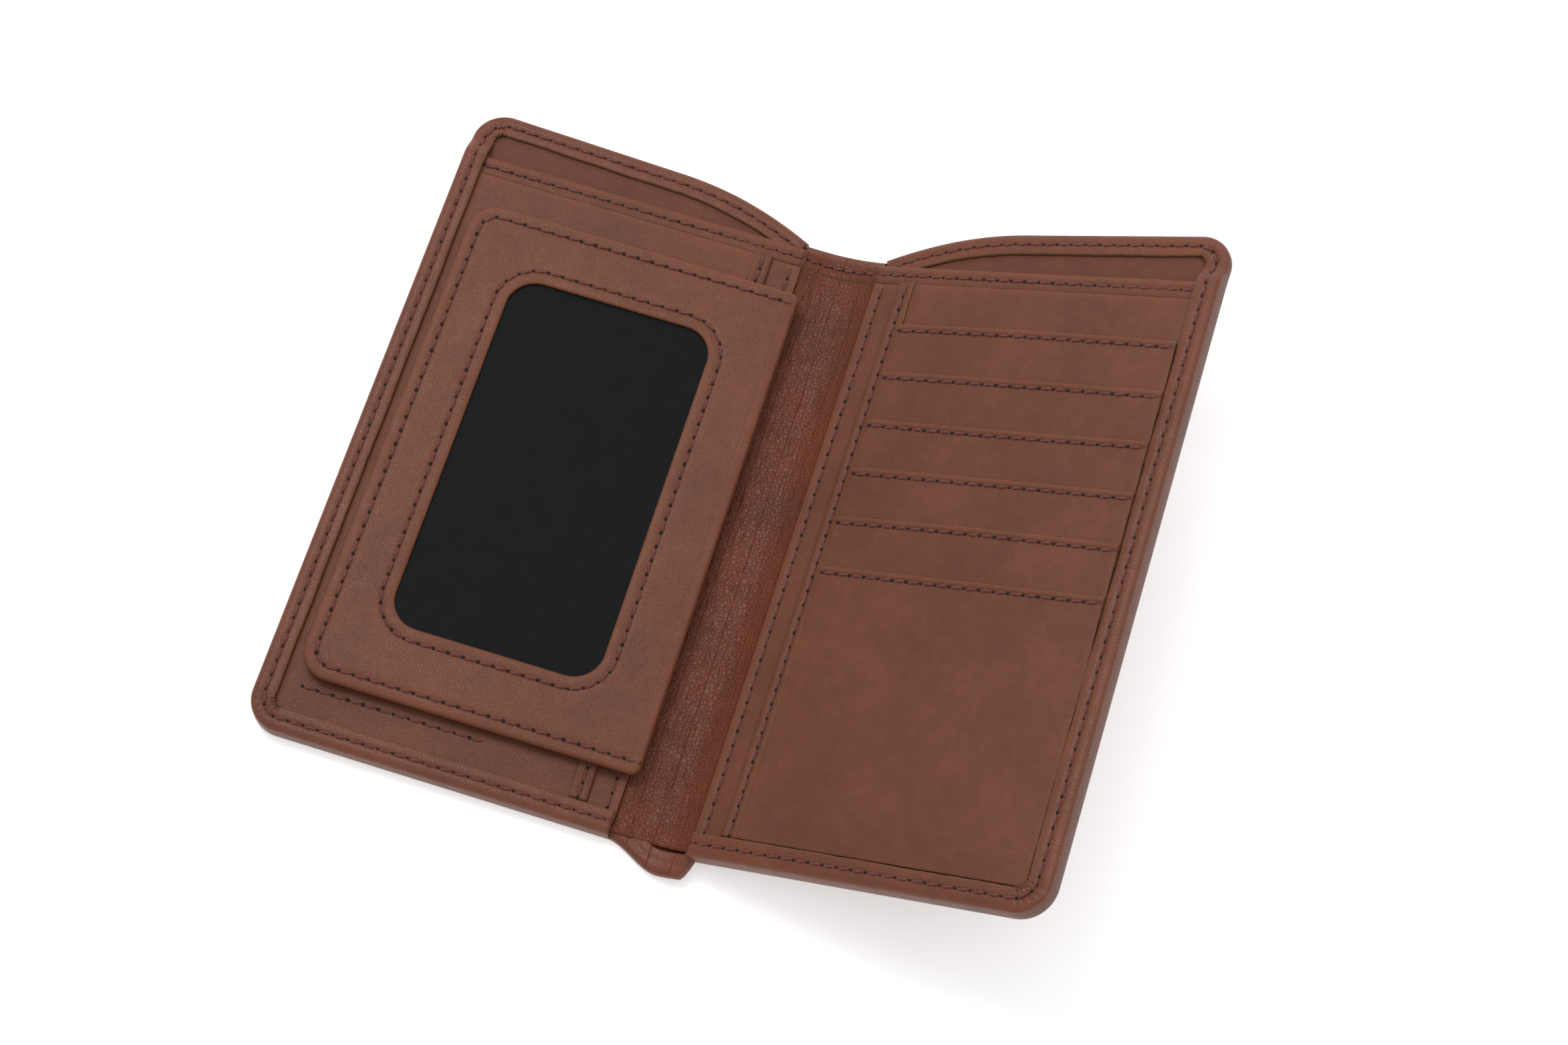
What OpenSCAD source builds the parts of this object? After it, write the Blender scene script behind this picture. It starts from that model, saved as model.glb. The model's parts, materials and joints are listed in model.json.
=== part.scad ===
// Long bifold leather wallet, lying open on its left half.
// +Z is up, +Y points to the wallet's top edge, +X runs from the left half to the right half.
// The origin is the middle of the bounding box's underside.
// Each half is drawn in its own frame: u runs from the crease to the outer edge, y along the
// wallet, and n is the height above the outer face of the cover.

/* [Halves] */
// Length of the wallet from bottom edge to top edge
wallet_h = 190.4; // [184:0.2:198]
// Width of one half from crease to outer edge
half_w = 101.6; // [99:0.2:104]
// Radius of the outer corners
corner_r = 9.3; // [7:0.1:12]
// Width of the turned edge that frames each half
hem_w = 6.4; // [6:0.1:7.5]
// How far the cover's top edge dips at the spine
spine_dip = 13; // [10:0.2:14]
// Height of the inner panel's top edge above the middle of the wallet
panel_top = 80.2; // [78:0.2:82]

/* [Leather] */
// Thickness of the outer cover
cover_t = 1.2; // [1:0.1:1.3]
// Thickness of the stiffener board
board_t = 0.4; // [0.3:0.1:0.5]
// Thickness of the note compartment's lining
lining_t = 0.6; // [0.5:0.1:0.7]
// Height of the note compartment
note_gap = 1.1; // [1.1:0.1:1.3]
// Thickness of the inner panel
panel_t = 0.75; // [0.6:0.05:0.8]
// Thickness of each side pocket
pocket_t = 0.65; // [0.5:0.05:0.7]
// Thickness of the turned edges
turned_t = 0.9; // [0.7:0.1:0.9]
// Clearance between layers
gap = 0.05; // [0.05:0.01:0.08]

/* [Spine] */
// Angle between the halves at rest
open_angle = 152; // [140:1:160]
// Width of each of the three spine strips
strip_w = 6.9; // [6.7:0.1:8]
// How far the spine cover reaches below the bottom edge
spine_drop = 1.5; // [0.5:0.1:2]
// Thickness of the inner spine leather
spine_leather_t = 0.7; // [0.5:0.1:0.8]

/* [Side pockets] */
// Distance of the rear pocket's fold from the crease
rear_fold = 1.2; // [1.2:0.1:2]
// Distance of the front pocket's fold from the crease
front_fold = 9.5; // [9:0.1:10]
// Width of the front pocket's turned edge
front_turn = 4.8; // [4:0.1:5]
// Width of the turned edge along the inner panel's top
top_turn = 5.6; // [5:0.1:6]

/* [Card slots] */
// Distance from one card slot's edge to the next
slot_pitch = 14.55; // [14:0.05:15]
// Height of the uppermost slot's edge
first_slot = 60.6; // [59:0.1:62]
// Length of each slot strip
slot_len = 20.5; // [18:0.5:21]
// Thickness of a slot strip
slot_t = 0.6; // [0.5:0.05:0.65]

/* [Identity flap] */
// Width of the flap from its fold to its free edge
flap_w = 92.2; // [90:0.2:93]
// Length of the flap
flap_h = 143.2; // [138:0.2:146]
// Height of the flap's middle above the middle of the wallet
flap_mid = -7.5; // [-9:0.1:-5]
// Thickness of the flap
flap_t = 2.7; // [2.6:0.1:3]
// Width of the window
window_w = 57.3; // [54:0.1:59]
// Length of the window
window_h = 104.2; // [98:0.2:106]
// Radius of the window's corners
window_r = 8.2; // [5:0.1:10]
// Radius of the flap's free corners
flap_r = 8.2; // [6:0.1:10]

/* [Hidden] */
$fn = 48;

cognac = [0.44, 0.21, 0.13];
dark_cognac = [0.37, 0.16, 0.09];
board_grey = [0.45, 0.42, 0.38];
mesh_black = [0.03, 0.03, 0.035];

// Layer heights, from the outer face inwards
board_n = cover_t;
lining_n = board_n + board_t;
panel_n = lining_n + lining_t + note_gap;
rear_n = panel_n + panel_t + gap;
front_n = rear_n + pocket_t + gap;
face_n = front_n + pocket_t + gap;
slot_lining_t = 0.2;
slot_n = face_n + slot_lining_t + gap;
leaf_t = 0.6;
leaf_n = face_n + turned_t - 0.2 + gap;
flap_n = leaf_n + leaf_t + 0.15;

// Widths of the parts that are turned over
hem_start = rear_fold + 0.3;
pocket_top = panel_top - top_turn - 0.3;
front_turn_t = turned_t - 0.2;
spine_joint_gap = 0.15;
lining_inset = 0.5;
layer_inset = cover_t + 0.2;
board_inset = cover_t + 0.4;
leaf_w = 28;
dip_reach = 41;
dip_even = 0.28;

// Slots
slot_count = 5;
slot_tilt = asin((slot_t + 0.1) / slot_pitch);
slot_u0 = front_fold + front_turn + 0.2;
slot_u1 = half_w - hem_w - 0.15;

// Flap
fold_r = flap_t / 2;
fold_u = -0.15;
fold_n = flap_n + fold_r;
flap_skin = 1.0;
flap_back_t = 0.8;
mesh_t = 0.3;
flap_rim = 6;
window_margin = 17.8;
window_low = 20.1;
mesh_overlap = 6;

// Spine chain: the first strip lies flat, and the three creases after it share the rise
crease_bend = (180 - open_angle) / 3;
function turn(k) = max(0, k - 1) * crease_bend;
function pivot(k) = k == 0 ? [0, cover_t] : pivot(k - 1) + strip_w * [cos(turn(k)), sin(turn(k))];
right_turn = turn(4);
right_edge = pivot(3)[0] + half_w * cos(right_turn) + cover_t * sin(right_turn);
origin_shift = [(half_w - right_edge) / 2, spine_drop / 2, 0];

// Top edge of the cover: it dips towards the spine
function dip(u) = spine_dip * (dip_even * (1 - u / half_w)
    + (1 - dip_even) * pow(max(0, 1 - u / dip_reach), 2));
function top_y(u) = wallet_h / 2 - dip(u);
function arc(c, r, a0, a1) = [for (i = [0 : 8]) let (a = a0 + (a1 - a0) * i / 8)
    c + r * [cos(a), sin(a)]];

module place_left() { translate(origin_shift) mirror([1, 0, 0]) children(); }
module place_strip(k) {
    p = pivot(k - 1);
    translate(origin_shift) translate([p[0], 0, p[1]]) rotate([0, -turn(k), 0])
        translate([0, 0, -cover_t]) children();
}
module place_right() {
    p = pivot(3);
    translate(origin_shift) translate([p[0], 0, p[1]]) rotate([0, -right_turn, 0])
        translate([0, 0, -cover_t]) children();
}
module layer(n, t) { translate([0, 0, n]) linear_extrude(t) children(); }

// Outline of a half, moved in by inset, starting at u0 from the crease, with the dipped top edge
module outline(inset, u0) {
    r = max(corner_r - inset, 2);
    u1 = half_w - inset;
    y0 = -wallet_h / 2 + inset;
    corner_y = top_y(u1 - r) - inset - r;
    polygon(concat(
        [[u0, y0]],
        arc([u1 - r, y0 + r], r, -90, 0),
        arc([u1 - r, corner_y], r, 0, 90),
        [for (u = [floor((u1 - r) / 4) * 4 - 4 : -4 : u0 + 2]) [u, top_y(u) - inset]],
        [[u0, top_y(u0) - inset]]));
}
// The same outline cut off level at height y1
module panel_outline(inset, u0, y1) {
    intersection() {
        outline(inset, u0);
        translate([0, -wallet_h]) square([half_w, wallet_h + y1]);
    }
}
module band(y0, y1) { translate([0, y0]) square([half_w, y1 - y0]); }

module outer_cover() {
    layer(0, cover_t) outline(0, spine_joint_gap);
    // Turned edge over the inner stack, along the side and the bottom
    layer(cover_t, face_n - cover_t) intersection() {
        difference() { outline(0, hem_start); outline(cover_t, 0); }
        band(-wallet_h / 2, panel_top);
    }
    layer(face_n, turned_t) intersection() {
        difference() { outline(0, hem_start); outline(hem_w, 0); }
        band(-wallet_h / 2, panel_top);
    }
    // Lower turned edge over the note lining, along the top
    layer(cover_t, lining_n + lining_t + gap - cover_t) intersection() {
        difference() { outline(0, hem_start); outline(cover_t, 0); }
        band(panel_top, wallet_h / 2);
    }
    layer(lining_n + lining_t + gap, turned_t) intersection() {
        difference() { outline(0, hem_start); outline(hem_w, 0); }
        band(panel_top + 0.2, wallet_h / 2);
    }
}
module stiffener() { layer(board_n, board_t) outline(board_inset, rear_fold); }
module note_lining() { layer(lining_n, lining_t) outline(layer_inset, rear_fold - 0.3); }
module inner_panel() {
    layer(panel_n, panel_t) panel_outline(layer_inset, rear_fold, panel_top);
    layer(panel_n + panel_t, pocket_t) intersection() {
        panel_outline(layer_inset, rear_fold, panel_top);
        band(panel_top - top_turn, panel_top);
    }
}
module rear_pocket() { layer(rear_n, pocket_t) panel_outline(layer_inset, rear_fold, pocket_top); }
module front_pocket() {
    layer(front_n, pocket_t) panel_outline(layer_inset, front_fold, pocket_top);
    layer(front_n + pocket_t, front_turn_t) translate([front_fold, -wallet_h / 2 + hem_w + 0.2])
        square([front_turn, wallet_h / 2 - hem_w - 0.2 + pocket_top]);
}

// Spine strips and their lining
module spine_strip() {
    layer(0, cover_t) translate([spine_joint_gap, -wallet_h / 2 - spine_drop])
        square([strip_w - 2 * spine_joint_gap, wallet_h + spine_drop - spine_dip]);
}
module spine_lining() {
    layer(cover_t, lining_t) translate([lining_inset, -wallet_h / 2 + 2])
        square([strip_w - 2 * lining_inset, wallet_h - spine_dip - 4]);
}
// Inner leather that crosses the spine from panel to panel
module spine_leather() {
    left_end = [-rear_fold + 0.1, panel_n];
    p = pivot(3);
    run = [cos(right_turn), sin(right_turn)];
    rise = [-sin(right_turn), cos(right_turn)];
    right_end = p + (rear_fold - 0.1) * run + (panel_n - cover_t) * rise;
    steps = 12;
    sag = 0.9;
    function mid(t) = left_end + t * (right_end - left_end) - [0, sag * sin(180 * t)];
    lower = [for (i = [0 : steps]) mid(i / steps)];
    function up(t) = spine_leather_t * [-sin(right_turn * t), cos(right_turn * t)];
    upper = [for (i = [steps : -1 : 0]) mid(i / steps) + up(i / steps)];
    translate(origin_shift) translate([0, panel_top, 0]) rotate([90, 0, 0])
        linear_extrude(panel_top + wallet_h / 2 - 1.5) polygon(concat(lower, upper));
}

// Thin fabric behind the card slots
module slot_lining_sheet() {
    layer(face_n, slot_lining_t) translate([slot_u0, -wallet_h / 2 + hem_w + 0.2])
        square([slot_u1 - slot_u0, wallet_h / 2 - hem_w - 0.2 + first_slot]);
}
// Card slots: shingled strips, each tucked behind the next one down
module slot_strip(length) {
    rotate([slot_tilt, 0, 0]) translate([slot_u0, -length, 0])
        cube([slot_u1 - slot_u0, length, slot_t]);
}
module card_slot(k) {
    y_top = first_slot - (k - 1) * slot_pitch;
    translate([0, y_top, slot_n + slot_len * sin(slot_tilt)]) slot_strip(slot_len);
}
module lower_panel() {
    y_top = first_slot - slot_count * slot_pitch;
    y_low = -wallet_h / 2 + hem_w + 0.2;
    y_bend = y_top - slot_len * cos(slot_tilt);
    rise = slot_len * sin(slot_tilt);
    translate([slot_u0, 0, slot_n]) rotate([90, 0, 90]) linear_extrude(slot_u1 - slot_u0) polygon([
        [y_low, 0], [y_bend, 0], [y_top, rise],
        [y_top - slot_t * sin(slot_tilt), rise + slot_t], [y_bend, slot_t], [y_low, slot_t]]);
}

// Identity flap: drawn like a left half, with its fold at the spine
module flap_outline(inset) {
    translate([0, flap_mid - flap_h / 2]) hull() {
        translate([0.5, inset]) square([1, flap_h - 2 * inset]);
        for (y = [flap_r, flap_h - flap_r]) translate([flap_w - flap_r, y]) circle(flap_r - inset);
    }
}
module window_outline() {
    translate([flap_w - window_margin - window_w, flap_mid - flap_h / 2 + window_low])
        translate([window_r, window_r]) hull()
            for (u = [0, window_w - 2 * window_r], y = [0, window_h - 2 * window_r])
                translate([u, y]) circle(window_r);
}
module flap_sheet() {
    difference() {
        flap_outline(0);
        translate([-1, -wallet_h / 2]) square([fold_r + fold_u + 1.4, wallet_h]);
    }
}
module flap_frame_solid() {
    top_n = flap_n + flap_t - flap_skin;
    layer(top_n, flap_skin) difference() { flap_sheet(); window_outline(); }
    layer(flap_n + flap_back_t + gap, top_n - flap_n - flap_back_t - gap) difference() {
        flap_sheet();
        flap_outline(flap_rim);
    }
}
module flap_mesh() {
    layer(flap_n + flap_t - flap_skin - gap - mesh_t, mesh_t)
        translate([flap_w - window_margin - window_w - mesh_overlap,
            flap_mid - flap_h / 2 + window_low - mesh_overlap])
            square([window_w + 2 * mesh_overlap, window_h + 2 * mesh_overlap]);
}
module flap_back() { layer(flap_n, flap_back_t) flap_sheet(); }
module flap_edge() {
    translate([fold_u, flap_mid + flap_h / 2, fold_n]) rotate([90, 0, 0]) cylinder(flap_h, fold_r, fold_r);
}
module mounting_leaf() {
    layer(leaf_n, leaf_t) translate([fold_u - fold_r + 0.1, flap_mid - flap_h / 2 + 1])
        square([leaf_w, flap_h - 2]);
}

color(dark_cognac) place_left() outer_cover();  // left_outer_cover
color(board_grey) place_left() stiffener();  // left_stiffener
color(cognac) place_left() note_lining();  // left_note_lining
color(cognac) place_left() inner_panel();  // left_inner_panel
color(cognac) place_left() rear_pocket();  // left_rear_pocket
color(cognac) place_left() front_pocket();  // left_front_pocket
color(cognac) place_left() mounting_leaf();  // flap_mounting_leaf
color(dark_cognac) place_strip(1) spine_strip();  // outer_spine_left
color(dark_cognac) place_strip(2) spine_strip();  // outer_spine_middle
color(dark_cognac) place_strip(3) spine_strip();  // outer_spine_right
color(cognac) place_strip(1) spine_lining();  // spine_lining_left
color(cognac) place_strip(2) spine_lining();  // spine_lining_middle
color(cognac) place_strip(3) spine_lining();  // spine_lining_right
color(dark_cognac) spine_leather();  // inner_spine_leather
color(dark_cognac) place_right() outer_cover();  // right_outer_cover
color(board_grey) place_right() stiffener();  // right_stiffener
color(cognac) place_right() note_lining();  // right_note_lining
color(cognac) place_right() inner_panel();  // right_inner_panel
color(cognac) place_right() rear_pocket();  // right_rear_pocket
color(cognac) place_right() front_pocket();  // right_front_pocket
color(board_grey) place_right() slot_lining_sheet();  // slot_lining
color(cognac) place_right() card_slot(1);  // card_slot_1
color(cognac) place_right() card_slot(2);  // card_slot_2
color(cognac) place_right() card_slot(3);  // card_slot_3
color(cognac) place_right() card_slot(4);  // card_slot_4
color(cognac) place_right() card_slot(5);  // card_slot_5
color(cognac) place_right() lower_panel();  // lower_slot_panel
color(cognac) place_left() flap_frame_solid();  // flap_frame
color(mesh_black) place_left() flap_mesh();  // flap_mesh_window
color(cognac) place_left() flap_back();  // flap_back_panel
color(cognac) place_left() flap_edge();  // flap_fold
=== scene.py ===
"""Looks of the long bifold wallet: stitched leather shells, pockets, card slots and an identity flap.

Lengths are in millimetres until a mesh is made. Each half has its own frame: u runs from the
crease to the outer edge, y along the wallet and n up from the outer face of the cover.
"""
import json
import math
import random

import bmesh
import bpy
import numpy as np
from mathutils import Matrix, Vector, noise


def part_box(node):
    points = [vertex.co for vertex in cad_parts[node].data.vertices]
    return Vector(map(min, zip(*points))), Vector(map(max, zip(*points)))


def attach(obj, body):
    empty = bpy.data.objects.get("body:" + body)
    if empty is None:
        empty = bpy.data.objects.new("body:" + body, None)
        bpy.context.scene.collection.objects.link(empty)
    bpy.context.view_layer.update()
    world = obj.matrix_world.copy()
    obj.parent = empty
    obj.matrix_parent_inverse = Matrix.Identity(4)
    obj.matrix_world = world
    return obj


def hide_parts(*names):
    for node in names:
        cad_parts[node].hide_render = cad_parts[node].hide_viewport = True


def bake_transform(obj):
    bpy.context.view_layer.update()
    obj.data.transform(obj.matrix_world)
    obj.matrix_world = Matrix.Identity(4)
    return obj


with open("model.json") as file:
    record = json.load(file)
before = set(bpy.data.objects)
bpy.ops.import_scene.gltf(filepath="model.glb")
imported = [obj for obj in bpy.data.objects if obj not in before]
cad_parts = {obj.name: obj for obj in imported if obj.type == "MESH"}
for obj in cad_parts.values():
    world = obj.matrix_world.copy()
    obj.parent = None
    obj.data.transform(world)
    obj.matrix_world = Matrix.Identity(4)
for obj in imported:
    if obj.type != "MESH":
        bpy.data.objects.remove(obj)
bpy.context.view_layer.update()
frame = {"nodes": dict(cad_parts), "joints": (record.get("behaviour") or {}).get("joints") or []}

MM = 0.001
rng = random.Random(7)

# ---------------------------------------------------------------- dimensions, millimetres
HALF_W = 101.6
WALLET_H = 190.4
CORNER_R = 9.3
HEM_W = 6.4
HEM_STITCH = 3.5
SPINE_DIP = 13.0
DIP_REACH = 41.0
DIP_EVEN = 0.28
STRIP_W = 6.9
PITCH = 4.1
UNDER_HEM = 3.4        # the sheets end under the turned edge, inside the rounded corners
EDGE_U = 1.5            # where the half's cover hands over to the spine cover
PANEL_TOP = 80.2
TOP_TURN = 5.6
POCKET_TOP = 74.3
REAR_FOLD = 1.2
FRONT_FOLD = 9.5
FRONT_TURN = 4.8
SLOT_PITCH = 14.55
FIRST_SLOT = 60.6
SLOT_LEN = 20.5
SLOT_COUNT = 5
SLOT_U0 = 14.5
SLOT_U1 = 95.05
FLAP_W = 92.2
FLAP_H = 143.2
FLAP_MID = -7.5
FLAP_FOLD = -1.5
FLAP_R = 8.2
WINDOW_W = 57.3
WINDOW_H = 104.2
WINDOW_MARGIN = 17.8
WINDOW_LOW = 20.1
WINDOW_R = 8.2
WEAVE = 0.6
FLAP_POCKET_SEAM = (89.6, 39.2)


def low_mm(node):
    return np.array(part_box(node)[0]) / MM


def high_mm(node):
    return np.array(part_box(node)[1]) / MM


joints = {j["name"]: j for j in frame["joints"]}
CREASE = [np.array(joints[name]["pos_m"]) / MM
          for name in ("left_crease", "left_spine_crease", "right_spine_crease", "right_crease")]
COVER_T = CREASE[0][2]
Y0 = low_mm("left_outer_cover")[1] + WALLET_H / 2
BENDS = [math.radians(-joints[name]["range_deg"][0])
         for name in ("left_spine_crease", "right_spine_crease", "right_crease")]
RIGHT_TURN = sum(BENDS)

LINING_N = high_mm("left_note_lining")[2]
PANEL_N = low_mm("left_inner_panel")[2]
REAR_N = low_mm("left_rear_pocket")[2]
FRONT_N = low_mm("left_front_pocket")[2]
HEM_N = high_mm("left_outer_cover")[2]
LEAF_N = low_mm("flap_mounting_leaf")[2]
FLAP_LOW = low_mm("flap_back_panel")[2]
FLAP_HIGH = high_mm("flap_frame")[2]
SHEET_T = 0.65
PANEL_T = 0.75
TURNED_T = 0.6           # a turned top edge stands this far over the sheet
SPINE_LEATHER_T = 0.7
FACE_N = FRONT_N + SHEET_T
LOW_HEM_N = LINING_N + 1.0
SLOT_N = FACE_N + 0.3
SLOT_T = 0.6
SLOT_TILT = math.asin((SLOT_T + 0.1) / SLOT_PITCH)

LOOK_AT = (0.0115, 0.0031, 0.0)
CAMERA_UP = 69.36
CAMERA_ROUND = -78.4
CAMERA_ROLL = 5.85
CAMERA_DISTANCE = 0.7536
LENS = 64.2


# ---------------------------------------------------------------- frames
class HalfFrame:
    """Turns u, y, n of one half into row coordinates in metres."""

    def __init__(self, pivot, run, rise):
        self.pivot, self.run, self.rise = np.array(pivot), np.array(run), np.array(rise)

    def at(self, u, y, n):
        u, y, n = np.broadcast_arrays(np.asarray(u, float), y, n)
        p = (np.array([self.pivot[0], Y0, self.pivot[2]])
             + u[..., None] * self.run + y[..., None] * np.array([0.0, 1.0, 0.0])
             + (n[..., None] - COVER_T) * self.rise)
        return p * MM


LEFT = HalfFrame(CREASE[0], (-1, 0, 0), (0, 0, 1))
RIGHT = HalfFrame(CREASE[3], (math.cos(RIGHT_TURN), 0, math.sin(RIGHT_TURN)),
                  (-math.sin(RIGHT_TURN), 0, math.cos(RIGHT_TURN)))
FLAP = LEFT


def smooth(t):
    t = np.clip(t, 0, 1)
    return t * t * (3 - 2 * t)


class SpineFrame:
    """The bent line of the cover across the spine: s runs from the left crease to the right one."""

    def __init__(self):
        self.s = np.linspace(-8, 3 * STRIP_W + 8, 2001)
        turn = sum(bend * smooth((self.s - (k + 0.5) * STRIP_W) / STRIP_W) for k, bend in enumerate(BENDS))
        step = self.s[1] - self.s[0]
        x = np.concatenate([[0], np.cumsum(np.cos(turn[:-1]) * step)]) + self.s[0]
        z = np.concatenate([[0], np.cumsum(np.sin(turn[:-1]) * step)])
        end = 3 * STRIP_W + 4
        reach = end - 3 * STRIP_W
        goal = (CREASE[3][0] - CREASE[0][0] + reach * math.cos(RIGHT_TURN),
                CREASE[3][2] - CREASE[0][2] + reach * math.sin(RIGHT_TURN))
        share = smooth((self.s - 1.2 * STRIP_W) / (2 * STRIP_W))
        self.x = x + share * (goal[0] - np.interp(end, self.s, x))
        self.z = z + share * (goal[1] - np.interp(end, self.s, z))
        self.turn = turn

    def at(self, s, y, n):
        s, y, n = np.broadcast_arrays(np.asarray(s, float), y, n)
        x, z = np.interp(s, self.s, self.x), np.interp(s, self.s, self.z)
        a = np.interp(s, self.s, self.turn)
        lift = n - COVER_T
        p = np.stack([CREASE[0][0] + x - np.sin(a) * lift, Y0 + y,
                      CREASE[0][2] + z + np.cos(a) * lift], -1)
        return p * MM


SPINE = SpineFrame()
SPINE_CUTS = [-EDGE_U, 0.5 * STRIP_W, 1.5 * STRIP_W, 2.5 * STRIP_W, 3 * STRIP_W + EDGE_U]


def top_y(u):
    """Top edge of the cover, which dips towards the spine."""
    u = np.asarray(u, float)
    dip = DIP_EVEN * (1 - u / HALF_W) + (1 - DIP_EVEN) * np.clip(1 - u / DIP_REACH, 0, 1) ** 2
    return WALLET_H / 2 - SPINE_DIP * dip


def wobble(a, b, seed, size):
    """Soft noise of two coordinates, about -1 to 1."""
    flat = [noise.noise(Vector((x / size, y / size, seed * 3.7)))
            for x, y in zip(np.ravel(a), np.ravel(b))]
    return np.reshape(flat, np.shape(a))


# ---------------------------------------------------------------- materials
class Nodes:
    """Short calls for building a node tree."""

    def __init__(self, name):
        self.mat = bpy.data.materials.new(name)
        self.mat.use_nodes = True
        self.tree = self.mat.node_tree
        self.shader = self.tree.nodes["Principled BSDF"]
        self.where = self.add("ShaderNodeTexCoord").outputs["Object"]

    def add(self, kind, inputs=None, **props):
        node = self.tree.nodes.new(kind)
        for key, value in props.items():
            setattr(node, key, value)
        for key, value in (inputs or {}).items():
            self.put(value, node.inputs[key])
        return node

    def put(self, value, socket):
        if isinstance(value, bpy.types.NodeSocket):
            self.tree.links.new(value, socket)
        else:
            socket.default_value = value

    def set(self, name, value):
        """Sets or links one of the shader's own inputs."""
        self.put(value, self.shader.inputs[name])

    def math(self, operation, a, b=0.0, clamp=False):
        node = self.add("ShaderNodeMath", {0: a, 1: b}, operation=operation)
        node.use_clamp = clamp
        return node.outputs[0]

    def mix(self, factor, a, b):
        node = self.add("ShaderNodeMix", data_type="RGBA")
        for index, value in ((0, factor), (6, a), (7, b)):
            self.put(value, node.inputs[index])
        return node.outputs[2]

    def ramp(self, factor, low, high):
        node = self.add("ShaderNodeMapRange", {0: factor, 1: low, 2: high})
        node.interpolation_type = "SMOOTHSTEP"
        return node.outputs[0]

    def noise(self, vector, size_mm, detail=2.0, rough=0.5):
        node = self.add("ShaderNodeTexNoise", {"Vector": vector, "Scale": 1000.0 / size_mm,
                                               "Detail": detail, "Roughness": rough})
        return node.outputs[0]

    def cells(self, vector, size_mm, feature="F1"):
        node = self.add("ShaderNodeTexVoronoi", {"Vector": vector, "Scale": 1000.0 / size_mm},
                        feature=feature)
        return node.outputs[0]

    def bump(self, height, distance_mm, strength=1.0):
        node = self.add("ShaderNodeBump", {"Height": height, "Distance": distance_mm * MM,
                                           "Strength": strength})
        return node.outputs[0]


def rgb(r, g, b):
    """Linear colour from 0-255 display values."""
    channel = [c / 255 for c in (r, g, b)]
    return [c / 12.92 if c <= 0.04045 else ((c + 0.055) / 1.055) ** 2.4 for c in channel] + [1.0]


def leather(name, base, deep, gloss=0.5, grain=1.0, speck=0.5, pore=0.62, streak=1.2):
    """Fine-grained dyed leather: mottled colour, pebbled bump, glossy specks, tan raw edges, rolled edges
    lightened partly by wear and partly by a painted highlight, and painted shade in the stitch grooves.
    """
    k = Nodes(name)
    where = k.where
    warp = k.add("ShaderNodeTexNoise", {"Vector": where, "Scale": 1000.0 / 3.0, "Detail": 2.0})
    slant = k.add("ShaderNodeMapping", {"Vector": where, "Rotation": (0.0, 0.0, 0.9),
                                        "Scale": (0.28, 1.0, 1.0)}).outputs[0]
    streaks = k.noise(slant, 0.9, 2.0, 0.6)
    shift = k.add("ShaderNodeVectorMath", {0: warp.outputs["Color"], 1: (0.0006, 0.0006, 0.0006)},
                  operation="MULTIPLY").outputs[0]
    bent = k.add("ShaderNodeVectorMath", {0: where, 1: shift}, operation="ADD").outputs[0]
    cloud = k.noise(where, 26.0, 3.0)
    mottle = k.noise(where, 4.5, 3.0, 0.6)
    pebble = k.cells(bent, pore, "DISTANCE_TO_EDGE")
    fine = k.noise(where, 0.22, 2.0, 0.6)
    creases = k.ramp(pebble, 0.0, 0.16)
    shade = k.math("MULTIPLY", k.ramp(cloud, 0.3, 0.7), 0.62)
    shade = k.math("ADD", shade, k.math("MULTIPLY", k.ramp(mottle, 0.35, 0.7), 0.38))
    colour = k.mix(shade, deep, base)
    dark = k.math("MULTIPLY", k.math("SUBTRACT", 1.0, creases), 0.20)
    colour = k.mix(dark, colour, [c * 0.45 for c in deep[:3]] + [1.0])
    raw = k.add("ShaderNodeAttribute", attribute_name="raw").outputs["Fac"]
    # the rolled edges are lightened: partly rubbing, partly a painted highlight where they catch the light
    wear_and_sheen = k.add("ShaderNodeAttribute", attribute_name="wear_and_sheen").outputs["Fac"]
    # painted shade: the dark attribute darkens the stitch grooves and the seam groove under each slot's fold
    groove_shade = k.add("ShaderNodeAttribute", attribute_name="dark").outputs["Fac"]
    colour = k.mix(k.math("MULTIPLY", groove_shade, 0.75), colour, [c * 0.22 for c in deep[:3]] + [1.0])
    light = k.mix(k.noise(where, 0.7, 3.0, 0.7), rgb(98, 64, 38), rgb(132, 94, 60))
    colour = k.mix(k.math("MULTIPLY", wear_and_sheen, k.math("ADD", 0.35, mottle), clamp=True), colour,
                   rgb(126, 72, 47))
    colour = k.mix(raw, colour, light)
    k.set("Base Color", colour)
    patches = k.ramp(k.noise(where, 9.0, 4.0, 0.62), 0.46, 0.66)
    sparkle = k.math("MULTIPLY", patches, k.ramp(k.cells(bent, pore * 0.8), 0.55, 0.05))
    rough = k.math("SUBTRACT", 0.62 - 0.22 * gloss, k.math("MULTIPLY", sparkle, 0.26 * speck))
    rough = k.math("ADD", rough, k.math("MULTIPLY", k.math("SUBTRACT", 1.0, creases), 0.16))
    rough = k.math("ADD", rough, k.math("MULTIPLY", raw, 0.3), clamp=True)
    k.set("Roughness", rough)
    k.set("Specular IOR Level", 0.24 + 0.14 * gloss)
    k.set("Coat Weight", 0.08 * gloss)
    k.set("Coat Roughness", 0.28)
    height = k.math("ADD", k.math("MULTIPLY", creases, 0.75), k.math("MULTIPLY", fine, 0.35))
    height = k.math("ADD", height, k.math("MULTIPLY", mottle, 1.3))
    height = k.math("ADD", height, k.math("MULTIPLY", streaks, streak))
    k.set("Normal", k.bump(height, 0.075 * grain))
    return k.mat


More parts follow.
